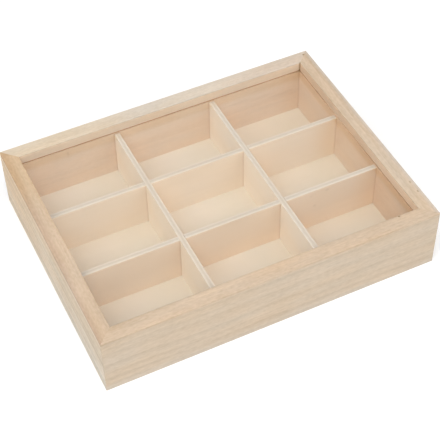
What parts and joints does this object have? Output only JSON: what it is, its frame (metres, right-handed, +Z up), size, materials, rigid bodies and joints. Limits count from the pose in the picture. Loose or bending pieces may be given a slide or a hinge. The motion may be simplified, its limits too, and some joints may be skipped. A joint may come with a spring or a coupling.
{
  "type": "tea bag organizer box",
  "caption": "Shallow wooden box with a mitred rim, a grid of equal compartments and a clear lid that slides out of a groove at one end.",
  "frame": {"origin": "middle of the underside", "axes": "+X to the right, towards the end where the lid slides out; +Y to the back; +Z up"},
  "size_m": [0.3, 0.23, 0.06],
  "materials": {
    "wall_wood": "bare, sanded",
    "bottom_ply": "bare plywood",
    "divider_ply": "bare plywood",
    "clear_sheet": "clear, polished",
    "brad_steel": "bright"
  },
  "bodies": {
    "box": {"front_wall": "wall_wood", "back_wall": "wall_wood", "left_wall": "wall_wood", "right_wall": "wall_wood", "bottom_panel": "bottom_ply", "front_divider": "divider_ply", "back_divider": "divider_ply", "left_divider": "divider_ply", "right_divider": "divider_ply", "bottom_brads": "brad_steel"},
    "lid": {"clear_lid": "clear_sheet"}
  },
  "joints": [
    {"name": "lid_slide", "type": "slide", "parent": "box", "child": "lid", "axis": [1, 0, 0], "range_m": [0, 0.295]}
  ]
}
